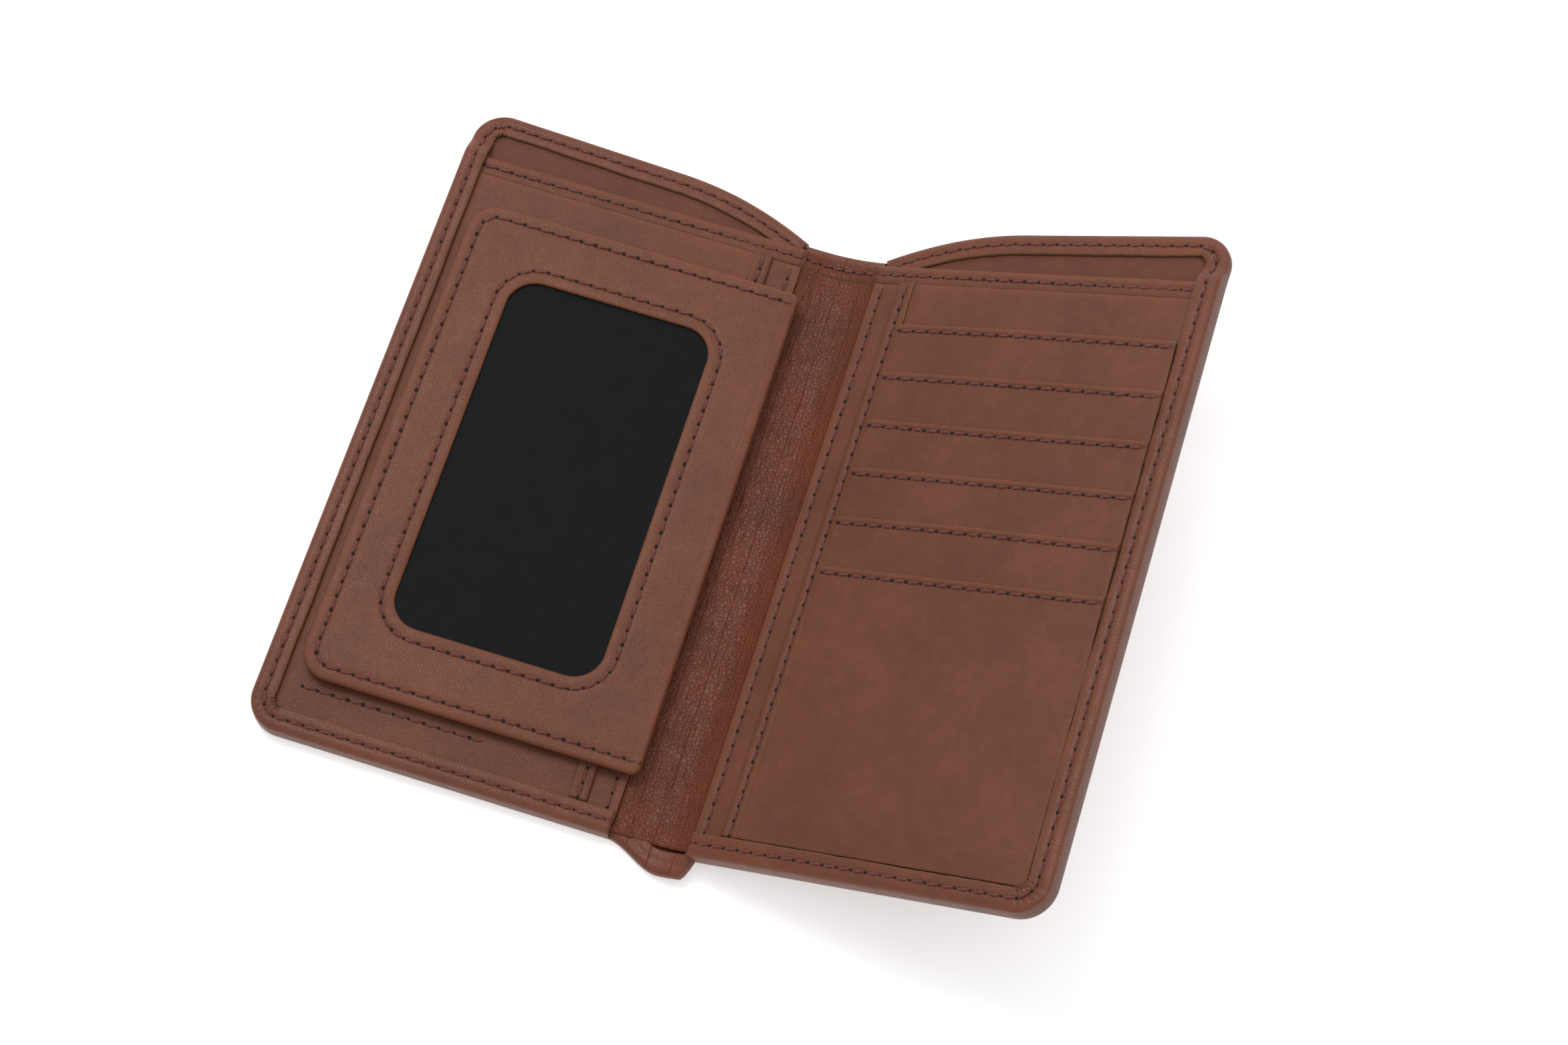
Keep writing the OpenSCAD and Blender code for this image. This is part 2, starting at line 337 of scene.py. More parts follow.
def thread_material():
    k = Nodes("sewing_thread")
    where = k.where
    colour = k.mix(k.noise(where, 0.9, 3.0, 0.7), rgb(78, 32, 24), rgb(122, 58, 44))
    k.set("Base Color", colour)
    k.set("Roughness", 0.62)
    k.set("Sheen Weight", 0.2)
    k.set("Normal", k.bump(k.noise(where, 0.12, 2.0), 0.05))
    return k.mat


# painted shade: near-black colour standing for the shade inside each needle hole
def hole_shade_material():
    k = Nodes("needle_hole_shade")
    where = k.where
    k.set("Base Color", k.mix(k.noise(where, 0.4), rgb(16, 8, 6), rgb(34, 16, 12)))
    k.set("Roughness", 0.9)
    return k.mat


def mesh_material():
    k = Nodes("black_nylon_mesh")
    where = k.where
    k.set("Base Color", k.mix(k.ramp(k.noise(where, 7.0, 3.0), 0.35, 0.7), rgb(1, 3, 5), rgb(4, 6, 9)))
    rough = k.math("ADD", 0.32, k.math("MULTIPLY", k.noise(where, 0.5, 2.0), 0.22))
    k.set("Roughness", rough)
    k.set("Specular IOR Level", 0.10)
    k.set("Normal", k.bump(k.noise(where, 0.11, 2.0), 0.02))
    return k.mat


def board_material():
    k = Nodes("stiffener_board")
    where = k.where
    fibre = k.noise(where, 0.6, 4.0, 0.7)
    k.set("Base Color", k.mix(fibre, rgb(150, 140, 122), rgb(186, 176, 158)))
    k.set("Roughness", 0.9)
    k.set("Normal", k.bump(fibre, 0.05))
    return k.mat


def fabric_material():
    k = Nodes("slot_lining_fabric")
    where = k.where
    waves = [k.add("ShaderNodeTexWave", {"Vector": where, "Scale": 1000.0 / 2.4},
                   bands_direction=axis).outputs[1] for axis in ("X", "Y")]
    weave = k.math("MAXIMUM", waves[0], waves[1])
    k.set("Base Color", k.mix(weave, rgb(44, 30, 24), rgb(78, 58, 48)))
    k.set("Roughness", 0.85)
    k.set("Normal", k.bump(weave, 0.05))
    return k.mat


COVER = leather("cover_leather", rgb(120, 64, 40), rgb(101, 51, 31), gloss=0.9, speck=0.9)
INNER = leather("inner_leather", rgb(117, 67, 46), rgb(101, 56, 38), gloss=0.45, speck=0.4, grain=0.8)
FLAPPY = leather("flap_leather", rgb(119, 68, 45), rgb(104, 57, 37), gloss=0.55, speck=0.9, grain=0.85)
SHINY = leather("spine_leather", rgb(111, 50, 22), rgb(90, 38, 16), gloss=0.7, speck=1.0, grain=1.8,
                pore=1.0, streak=0.2)
LINING = leather("lining_leather", rgb(112, 64, 47), rgb(97, 53, 38), gloss=0.2, speck=0.1, grain=0.6)
THREAD = thread_material()
HOLE_SHADE = hole_shade_material()
NYLON = mesh_material()
BOARD = board_material()
FABRIC = fabric_material()


# ---------------------------------------------------------------- mesh building
def make_object(name, points, faces, materials, attributes=None, face_materials=None):
    mesh = bpy.data.meshes.new(name)
    mesh.from_pydata([tuple(p) for p in points], [], [list(f) for f in faces])
    # every face looks outwards, whatever the order that its points were given in
    shell = bmesh.new()
    shell.from_mesh(mesh)
    bmesh.ops.recalc_face_normals(shell, faces=shell.faces)
    if shell.calc_volume(signed=True) < 0:
        bmesh.ops.reverse_faces(shell, faces=shell.faces)
    shell.to_mesh(mesh)
    shell.free()
    mesh.polygons.foreach_set("use_smooth", [True] * len(mesh.polygons))
    for m in materials:
        mesh.materials.append(m)
    if face_materials is not None:
        mesh.polygons.foreach_set("material_index", face_materials)
    for key, values in (attributes or {}).items():
        layer = mesh.attributes.new(key, "FLOAT", "POINT")
        layer.data.foreach_set("value", np.asarray(values, np.float32).ravel())
    mesh.update()
    obj = bpy.data.objects.new(name, mesh)
    bpy.context.scene.collection.objects.link(obj)
    return obj


def grid_faces(rows, cols, wrap_rows=False, wrap_cols=False):
    index = np.arange(rows * cols).reshape(rows, cols)
    if wrap_rows:
        index = np.vstack([index, index[:1]])
    if wrap_cols:
        index = np.hstack([index, index[:, :1]])
    return np.stack([index[:-1, :-1], index[1:, :-1], index[1:, 1:], index[:-1, 1:]], -1).reshape(-1, 4)


def loft(name, grid, material, attributes=None):
    """A closed solid from rows of closed loops, with a cap on the first and last row."""
    rows, cols = grid.shape[:2]
    faces = [list(f) for f in grid_faces(rows, cols, wrap_cols=True)]
    faces.append(list(range(cols))[::-1])
    faces.append([(rows - 1) * cols + c for c in range(cols)])
    obj = make_object(name, grid.reshape(-1, 3), faces, [material], attributes)
    for cap in (-1, -2):
        obj.data.polygons[cap].use_smooth = False
    return obj


def ring(name, grid, material, attributes=None):
    """A closed solid ring from closed loops, without caps."""
    rows, cols = grid.shape[:2]
    return make_object(name, grid.reshape(-1, 3), grid_faces(rows, cols, True, True), [material], attributes)


def finish_piece(obj, body, slot, *nodes):
    if nodes:
        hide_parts(*nodes)
    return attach(obj, body)


def near(a, b, width):
    """1 where a is b, falling to 0 within about width."""
    return np.exp(-((a - b) / width) ** 2)


def spread(a, b, step, ends=()):
    """Values from a to b about step apart, with extra ones at the given distances from both ends."""
    inner = np.linspace(a, b, max(2, int(round(abs(b - a) / step)) + 1))
    sign = 1 if b > a else -1
    extra = [a + sign * e for e in ends] + [b - sign * e for e in ends]
    return np.array(sorted(set(np.round(np.concatenate([inner, extra]), 4)), reverse=b < a))


def rolled(distance, radius):
    """How far a rounded edge has dropped at a distance from its rim."""
    d = np.clip(distance, 0, radius)
    return radius - np.sqrt(np.maximum(radius ** 2 - (radius - d) ** 2, 0))


def rim_distance(u, y):
    """Distance of each point of a grid from the grid's nearest side."""
    return np.minimum(np.minimum(u - u.min(), u.max() - u), np.minimum(y - y.min(), y.max() - y))


def sheet_solid(name, half, us, ys, top, thickness, material, wear_and_sheen=0.0):
    """A leather sheet over a grid of u and y: rounded rim, its own thickness, top(u, y) its upper face."""
    u, y = np.meshgrid(us, ys)
    rim = rim_distance(u, y)
    drop = rolled(rim, thickness / 2)
    upper = top(u, y) - drop
    lower = top(u, y) - thickness + drop * 0.999
    loops = np.concatenate([half.at(u, y, upper), half.at(u, y, lower)[:, ::-1]], 1)
    rim2 = np.concatenate([rim, rim[:, ::-1]], 1)
    # the sheet's rim is lightened: partly rubbing, partly a painted highlight
    return loft(name, loops, material, {"wear_and_sheen": wear_and_sheen * near(rim2, 0.5, 0.9), "raw": np.zeros(rim2.shape)})


# ---------------------------------------------------------------- stitches
class Threads:
    """Collects every stitch and needle hole of one body into one mesh."""

    def __init__(self):
        self.points, self.faces, self.kinds = [], [], []

    def add(self, points, faces, kind):
        base = len(self.points)
        self.points += [tuple(p) for p in points]
        self.faces += [[base + i for i in f] for f in faces]
        self.kinds += [kind] * len(faces)

    def stitch(self, a, b, up, radius=0.36, rings=8, sides=8):
        along = b - a
        length = np.linalg.norm(along)
        along = along / length
        across = np.cross(up, along)
        t = np.linspace(0, 1, rings)
        arch = np.sin(np.pi * t) ** 0.7
        twist = rng.uniform(0, math.pi)
        rows = []
        for i in range(rings):
            angle = 2 * np.pi * np.arange(sides) / sides
            lobes = 1 + 0.24 * np.cos(2 * (angle - twist - 5.2 * t[i]))
            r = radius * MM * (0.62 + 0.38 * arch[i]) * lobes
            centre = a + along * length * t[i] + up * MM * (0.42 * arch[i] - 0.24)
            rows.append(centre + np.cos(angle)[:, None] * r[:, None] * across
                        + np.sin(angle)[:, None] * r[:, None] * up * 0.85)
        faces = [list(f) for f in grid_faces(rings, sides, wrap_cols=True)]
        faces += [list(range(sides))[::-1], [(rings - 1) * sides + c for c in range(sides)]]
        self.add(np.concatenate(rows), faces, 0)

    # each hole is a small near-black plug of painted shade, its rim a little above the leather
    def hole(self, centre, along, up, size=0.5):
        across = np.cross(up, along)
        angle = 2 * np.pi * np.arange(9) / 9
        s = size * MM * rng.uniform(0.8, 1.15)
        rim = (centre + up * MM * 0.12 + np.cos(angle)[:, None] * along * s
               + np.sin(angle)[:, None] * across * s * 0.85)
        deep = centre - up * MM * 0.25
        foot = rim - up * MM * 0.4
        points = np.concatenate([rim, [deep + up * MM * 0.2], foot])
        faces = [[i, (i + 1) % 9, 9] for i in range(9)]
        faces += [[10 + i, 10 + (i + 1) % 9, (i + 1) % 9, i] for i in range(9)]
        faces.append([10 + i for i in range(9)][::-1])
        self.add(points, faces, 1)

    def row(self, path, ups, pitch=PITCH, slant=0.16, hole=0.5, radius=0.36):
        """A row of stitches along path, an array of points in metres, with the surface normals ups."""
        steps = np.linalg.norm(np.diff(path, axis=0), axis=1)
        run = np.concatenate([[0], np.cumsum(steps)]) / MM
        count = max(1, int(round(run[-1] / pitch)))
        real = run[-1] / count

        def sample(s):
            p = np.array([np.interp(s, run, path[:, i]) for i in range(3)])
            n = np.array([np.interp(s, run, ups[:, i]) for i in range(3)])
            return p, n / np.linalg.norm(n)

        for i in range(count):
            s0, s1 = (i + 0.12) * real, (i + 0.91) * real
            a, up = sample(s0)
            b, _ = sample(s1)
            along = (b - a) / np.linalg.norm(b - a)
            across = np.cross(up, along)
            lean = across * MM * (slant + rng.uniform(-0.07, 0.07))
            self.stitch(a - lean, b + lean, up, radius * rng.uniform(0.92, 1.08))
            if hole:
                mid, up2 = sample((i + 0.01) * real)
                self.hole(mid, along, up2, hole)

    def build(self, name):
        return make_object(name, self.points, self.faces, [THREAD, HOLE_SHADE], face_materials=self.kinds)


threads = {body: Threads() for body in ("left_half", "right_half", "id_flap")}


def half_row(half, body, us, ys, ns, **options):
    """A row of stitches on a half, given as u, y and n along it."""
    us, ys, ns = np.broadcast_arrays(us, ys, ns)
    path = half.at(us, ys, ns)
    ups = np.broadcast_to(half.rise, path.shape)
    threads[body].row(path, np.array(ups), **options)


# ---------------------------------------------------------------- outer covers with turned edges
def cover_path():
    """Outline of the cover from the crease's bottom end round to its top end: u, y and inward normal."""
    low, r, w = -WALLET_H / 2, CORNER_R, HALF_W
    top_c = float(top_y(w - r)) - r
    bottom = [(u, low) for u in np.arange(EDGE_U, w - r, 1.0)]
    arc1 = [(w - r + r * math.cos(a), low + r + r * math.sin(a)) for a in np.linspace(-math.pi / 2, 0, 22)]
    side = [(w, y) for y in np.arange(low + r + 1, top_c - 0.5, 1.0)]
    arc2 = [(w - r + r * math.cos(a), top_c + r * math.sin(a)) for a in np.linspace(0, math.pi / 2, 22)]
    top = [(u, float(top_y(u))) for u in np.arange(w - r - 1, EDGE_U, -1.0)]
    pts = np.array(bottom + arc1 + side + arc2 + top + [(EDGE_U, float(top_y(EDGE_U)))])
    tangent = np.gradient(pts, axis=0)
    tangent /= np.linalg.norm(tangent, axis=1)[:, None]
    return pts, np.stack([-tangent[:, 1], tangent[:, 0]], 1)


def hem_height(pts):
    """Height of the turned edge: high over the pockets, low where only the lining lies under it."""
    lowered = np.maximum(smooth((pts[:, 1] - PANEL_TOP + 1.0) / 7.0),
                         smooth((30.0 - pts[:, 0]) / 10.0) * (pts[:, 1] > 0))
    return HEM_N + (LOW_HEM_N - HEM_N) * lowered


def corner_share(pts):
    """1 in the rounded corners, 0 along the straight edges."""
    corner = (pts[:, 0] - (HALF_W - CORNER_R)) / CORNER_R
    end = (np.abs(pts[:, 1]) - (WALLET_H / 2 - CORNER_R)) / CORNER_R
    return smooth(np.clip(corner, 0, 1) * 3) * smooth(np.clip(end, 0, 1) * 3)


def build_cover(half, body, side):
    pts, inward = cover_path()
    run = np.concatenate([[0], np.cumsum(np.linalg.norm(np.diff(pts, axis=0), axis=1))])
    height = hem_height(pts)
    corner = corner_share(pts)
    seed = 3 if side == "left" else 11
    drift = wobble(run, run * 0, seed, 14.0)
    fray = wobble(run, run * 0, seed + 1, 2.2)
    # folded tabs where the leather is gathered round the corners
    tabs = np.abs(np.sin(run * 1.05 + seed))
    raw_d = HEM_W + 0.22 * drift + 0.10 * fray + corner * (1.1 * tabs - 0.8)
    raw_h = height + corner * (0.55 * tabs + 0.1) + 0.10 * wobble(run, run * 0, seed + 2, 6.0)
    pull = near((run % PITCH), 0, 0.6) + near((run % PITCH), PITCH, 0.6)
    channel = 0.22 + 0.14 * pull
    profile = [(5.0, COVER_T, 0), (1.6, COVER_T, 0), (1.5, -1.0, 1), ("raw", -0.95, 1), ("raw", -0.75, 2),
               ("raw", -0.18, 2), ("raw-", 0.02, 2), (5.6, 0.05, 1), (5.0, 0.07, 1), (4.5, 0.05, 1),
               (4.05, 0.0, 1), (3.75, -0.6, 3), (3.5, -1.0, 3), (3.25, -0.6, 3), (2.95, 0.0, 1),
               (2.4, 0.09, 1), (1.8, 0.08, 1), (1.2, -0.02, 1), (0.75, -0.18, 1), (0.42, -0.42, 1),
               (0.18, -0.78, 1), (0.05, -1.25, 1), (0.0, 0.45, 4), (0.05, 0.28, 4), (0.2, 0.15, 4),
               (0.42, 0.07, 4), (0.8, 0.02, 4), (1.4, 0.0, 0), (3.0, 0.0, 0), (6.0, 0.0, 0)]
    cols, raw, wear_and_sheen, dark = [], [], [], []
    squeeze = (raw_d - 4.05) / (HEM_W - 4.05)
    for d, n, kind in profile:
        if d == "raw" or d == "raw-":
            dist = raw_d - (0.3 if d == "raw-" else 0)
        else:
            dist = np.full(len(pts), d)
            if kind == 1 and d > 4.05:
                dist = 4.05 + (dist - 4.05) * squeeze
        if kind == 0:
            level = np.full(len(pts), n)
        elif kind == 1:
            level = height + n
        elif kind == 2:
            level = raw_h + n
        elif kind == 3:
            level = height + n * channel
        else:
            level = n * height * 0.5 if n < 0.3 else n * height
        if kind in (1, 3) and d not in ("raw", "raw-") and n > -0.9:
            gather = 0.30 * np.abs(np.sin(run * 1.35 + seed * 0.7)) * corner * min(1.0, dist[0] / 1.5)
            level = level - gather + 0.06 * wobble(run, run * 0 + dist[0], seed + 5, 7.0)
        flat = pts + inward * dist[:, None]
        cols.append(half.at(flat[:, 0], flat[:, 1], level))
        raw.append(np.full(len(pts), 1.0 if kind == 2 and n < 0 else 0.35 if kind == 2 else 0.0))
        # the turned edge's rim is lightened: partly rubbing, partly a painted highlight
        wear_and_sheen.append(np.full(len(pts), 0.55 if kind == 1 and dist[0] < 1.0 else 0.15 if kind == 1 else 0.0))
        # painted shade in the stitch groove, deepest at its bottom
        dark.append(np.full(len(pts), {3: 0.5 if n < -0.9 else 0.15}.get(kind, 0.0)))
    grid = np.stack(cols, 1)
    rows, count = grid.shape[:2]
    faces = [list(f) for f in grid_faces(rows, count)]
    index = np.arange(rows * count).reshape(rows, count)
    faces.append(list(index[::-1, 0]))
    faces.append(list(index[:, -1]))
    faces.append([index[0, 0], index[0, -1], index[-1, -1], index[-1, 0]])
    faces.append(list(index[0]))
    faces.append(list(index[-1])[::-1])
    obj = make_object(side + "_cover_leather", grid.reshape(-1, 3), faces, [COVER],
                      {"raw": np.stack(raw, 1), "wear_and_sheen": np.stack(wear_and_sheen, 1), "dark": np.stack(dark, 1)})
    for cap in range(-5, 0):
        obj.data.polygons[cap].use_smooth = False
    finish_piece(obj, body, "cover_leather", side + "_outer_cover")
    keep = slice(2, -1)
    line = (pts + inward * HEM_STITCH)[keep]
    half_row(half, body, line[:, 0], line[:, 1], (height - 0.16)[keep], hole=0.42)
    # the same seam on the outside
    back = half.at(line[::-1, 0], line[::-1, 1], 0.3)
    threads[body].row(back, np.array(np.broadcast_to(-half.rise, back.shape)), hole=0.34)


# ---------------------------------------------------------------- spine cover
def spine_cover():
    """The cover leather across the spine, with its edges turned in at the top and the bottom."""
    top = float(top_y(0))
    low = -WALLET_H / 2
    t = 1.25
    inner = COVER_T + 0.75
    hem = LOW_HEM_N

    def profile(s):
        t_s = np.clip((s + EDGE_U) / (3 * STRIP_W + 2 * EDGE_U), 0, 1)
        lip = low - 5.2 * smooth(t_s / 0.65) * smooth((1 - t_s) / 0.12) ** 0.5 - 0.6 * np.sin(np.pi * t_s)
        p = [(top - HEM_W, inner), (top - HEM_W, hem - 0.15), (top - HEM_W + 0.3, hem),
             (top - 4.5, hem + 0.05), (top - 3.9, hem), (top - 3.5, hem - 0.25), (top - 3.1, hem),
             (top - 1.6, hem + 0.03),
             (top - 0.7, hem - 0.25), (top - 0.15, hem - 0.8), (top, 1.2), (top - 0.15, 0.5),
             (top - 0.7, 0.08)]
        p += [(y, 0.0) for y in np.linspace(top - 3, low + 3, 60)]
        p += [(lip + 0.8, 0.06), (lip + 0.2, 0.4), (lip, t), (lip + 0.2, hem - 0.6), (lip + 0.8, hem - 0.1),
              (lip + 2.6, hem), (lip + 3.4, hem - 0.2), (lip + 4.2, hem), (lip + HEM_W - 0.4, hem),
              (lip + HEM_W, hem - 0.15), (lip + HEM_W, inner)]
        p += [(y, inner) for y in np.linspace(low + HEM_W + 2, top - HEM_W - 1, 50)]
        return np.array(p)

    swaps = [("outer_spine_left", "spine_lining_left"), ("outer_spine_middle", "spine_lining_middle"),
             ("outer_spine_right", "spine_lining_right"), ()]
    for i in range(4):
        ss = np.linspace(SPINE_CUTS[i], SPINE_CUTS[i + 1], 15)
        rows, raws = [], []
        for s in ss:
            p = profile(s)
            wave = 0.10 * wobble(p[:, 0], p[:, 0] * 0 + s, 31, 16.0)
            lift = np.where(p[:, 1] > 0.5, wave, 0)
            rows.append(SPINE.at(s, p[:, 0], p[:, 1] + lift))
            raw = np.zeros(len(p))
            raw[1] = raw[-2] = 1.0
            raws.append(raw)
        obj = loft("spine_cover_%d" % (i + 1), np.array(rows), COVER,
                   {"raw": np.array(raws), "wear_and_sheen": np.zeros((len(ss), len(raws[0])))})
        if swaps[i]:
            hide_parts(*swaps[i])
        blend_spine(obj, i)


def blend_spine(obj, i):
    a = SPINE.at(i * STRIP_W - 0.5 * STRIP_W, 0, COVER_T)
    b = SPINE.at(i * STRIP_W + 0.5 * STRIP_W, 0, COVER_T)
    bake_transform(obj)


def spine_threads(name, y, n_of, s_from, s_to):
    """A seam across the spine, cut at the strips' middles into separate runs."""
    for i in range(4):
        a, b = max(SPINE_CUTS[i], s_from), min(SPINE_CUTS[i + 1], s_to)
        if b - a < 1:
            continue
        ss = np.linspace(a, b, 12)
        path = SPINE.at(ss, y, n_of(ss))
        turn = np.interp(ss, SPINE.s, SPINE.turn)
        ups = np.stack([-np.sin(turn), turn * 0, np.cos(turn)], 1)
        run = Threads()
        run.row(path, ups, pitch=3.6)
        obj = run.build("%s_%d" % (name, i + 1))
        blend_spine(obj, i)


# ---------------------------------------------------------------- inner panel and inner spine leather
def hem_profile(top, t):
    """Loop of (y, height over the face) for leather with a turned and sewn top edge."""
    hem = TURNED_T
    p = [(top - TOP_TURN - 0.05, 0.0), (top - TOP_TURN, hem - 0.12), (top - TOP_TURN + 0.25, hem),
         (top - 4.6, hem + 0.04), (top - 3.8, hem + 0.02), (top - 3.35, hem - 0.14), (top - 3.0, hem - 0.24),
         (top - 2.65, hem - 0.14), (top - 2.2, hem + 0.02), (top - 1.4, hem + 0.06), (top - 0.8, hem - 0.02),
         (top - 0.35, hem - 0.2), (top - 0.08, hem - 0.5), (top, hem - 0.8), (top - 0.1, -t + 0.1),
         (top - 0.5, -t)]
    return p


def inner_panel(half, body, side):
    us = spread(REAR_FOLD - 0.6, HALF_W - UNDER_HEM, 2.0)
    top, low = PANEL_TOP, -WALLET_H / 2 + UNDER_HEM
    p = hem_profile(top, PANEL_T)
    p += [(low, -PANEL_T), (low, 0.0)] + [(y, 0.0) for y in np.linspace(low + 2, top - TOP_TURN - 1, 40)]
    p = np.array(p)
    face = PANEL_N + PANEL_T
    rows = []
    for u in us:
        wave = 0.16 * wobble(p[:, 0] * 0 + u, p[:, 0], 21 if side == "left" else 27, 24.0)
        jag = 0.16 * wobble(p[:, 0] * 0 + u, p[:, 0] * 0, 8, 3.0) * (np.arange(len(p)) < 3)
        rows.append(half.at(u, p[:, 0] + jag, face + p[:, 1] + np.where(p[:, 0] > top - 8, wave, 0)))
    raw = np.zeros((len(us), len(p)))
    raw[:, 0:2] = 1.0
    wear_and_sheen = np.zeros((len(us), len(p)))
    # the rolled top of the turned edge is lightened: partly rubbing, partly a painted highlight
    wear_and_sheen[:, 9:13] = 0.5
    obj = loft(side + "_inner_panel_leather", np.array(rows), INNER, {"raw": raw, "wear_and_sheen": wear_and_sheen})
    finish_piece(obj, body, "inner_leather", side + "_inner_panel")
    line = np.arange(HALF_W - HEM_W, REAR_FOLD - 0.8, -1.0)
    half_row(half, body, line, top - 3.0, face + 0.42)


def inner_spine():
    """The soft leather across the spine: a shallow valley with long creases."""
    top, low = PANEL_TOP, -WALLET_H / 2 + 1.5
    face = PANEL_N + PANEL_T
    p = hem_profile(top, SPINE_LEATHER_T)
    ys = np.linspace(low + 0.4, top - TOP_TURN - 0.8, 270)
    p += [(y, -SPINE_LEATHER_T) for y in np.linspace(top - 6, low + 1, 40)] + [(low, -0.5), (low, -0.15)]
    first_face = len(p)
    p += [(y, 0.0) for y in ys]
    p = np.array(p)
    width = 3 * STRIP_W
    cuts = [-REAR_FOLD + 0.6 - 1.2] + SPINE_CUTS[1:4] + [width + REAR_FOLD + 0.6]

    def crease(s, y):
        """Height of the folds and wrinkles, in millimetres."""
        s, y = np.broadcast_arrays(s, y)
        drift = 1.0 * wobble(s * 0, y, 41, 30.0) + 0.35 * wobble(s, y, 45, 4.0)
        long_ones = 1 - 2.2 * np.abs(wobble(s + drift, y * 0.24, 42, 1.7))
        short_ones = 1 - 2.2 * np.abs(wobble(s + drift, y * 0.55, 43, 1.0))
        pebble = wobble(s, y * 0.8, 44, 0.8)
        body = smooth((top - TOP_TURN + 1.5 - y) / 12) * 0.8 + 0.2
        ends = smooth((s + 0.9) / 2.2) * smooth((width + 0.9 - s) / 2.2)
        flapward = 1 - 0.72 * smooth((s - 0.35 * width) / (0.5 * width))
        return ends * body * flapward * (0.17 * long_ones + 0.16 * short_ones + 0.16 * pebble)

    for i in range(4):
        ss = np.linspace(cuts[i], cuts[i + 1], int((cuts[i + 1] - cuts[i]) / 0.24) + 1)
        s, y = np.meshgrid(ss, p[:, 0], indexing="ij")
        t = np.clip((s + 1.0) / (width + 2.0), 0, 1)
        valley = -1.0 * np.sin(np.pi * t) ** 0.8
        level = face + np.broadcast_to(p[:, 1], s.shape) + valley
        shown = np.arange(len(p)) >= first_face
        wrinkle = crease(s, y)
        level = level + np.where(shown, wrinkle, wrinkle * 0.4)
        jag = 0.2 * wobble(s, s * 0, 9, 2.4) * (np.arange(len(p)) < 3)
        grid = SPINE.at(s, y + jag, level)
        raw = np.zeros(s.shape)
        raw[:, 0:2] = 1.0
        obj = loft("inner_spine_leather_%d" % (i + 1), grid, SHINY,
                   {"raw": raw, "wear_and_sheen": np.zeros(s.shape)})
        if i == 1:
            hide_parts("inner_spine_leather")
        blend_spine(obj, i)

    def seam_n(ss):
        t = np.clip((ss + 1.0) / (width + 2.0), 0, 1)
        return face + 0.42 - 1.0 * np.sin(np.pi * t) ** 0.8

    spine_threads("inner_spine_thread", PANEL_TOP - 3.0, seam_n, -0.4, width + 0.4)


# ---------------------------------------------------------------- side pockets
def rear_pocket(half, body, side):
    fold_steps = np.array([0, 0.04, 0.12, 0.25, 0.45, 0.8, 1.3, 1.9, 2.4, 2.8, 3.2, 3.8, 5, 7])
    us = np.concatenate([REAR_FOLD + fold_steps,
                         np.arange(9.5, HALF_W - UNDER_HEM, 4.0)])
    ys = spread(-WALLET_H / 2 + UNDER_HEM, POCKET_TOP, 1.0, (0.04, 0.12, 0.25, 0.33))
    seed = 51 if side == "left" else 57

    def top(u, y):
        fold = 0.22 * near(u, REAR_FOLD + 1.2, 1.1) - 0.16 * near(u, REAR_FOLD + 2.8, 0.5)
        return REAR_N + SHEET_T + fold + 0.05 * wobble(u, y, seed, 18.0)

    obj = sheet_solid(side + "_rear_pocket_leather", half, us, ys, top, SHEET_T, INNER, wear_and_sheen=0.6)
    finish_piece(obj, body, "inner_leather", side + "_rear_pocket")
    line = np.arange(-WALLET_H / 2 + HEM_W + 0.5, POCKET_TOP - 0.3, 1.0)
    half_row(half, body, REAR_FOLD + 2.8, line, REAR_N + SHEET_T - 0.04)


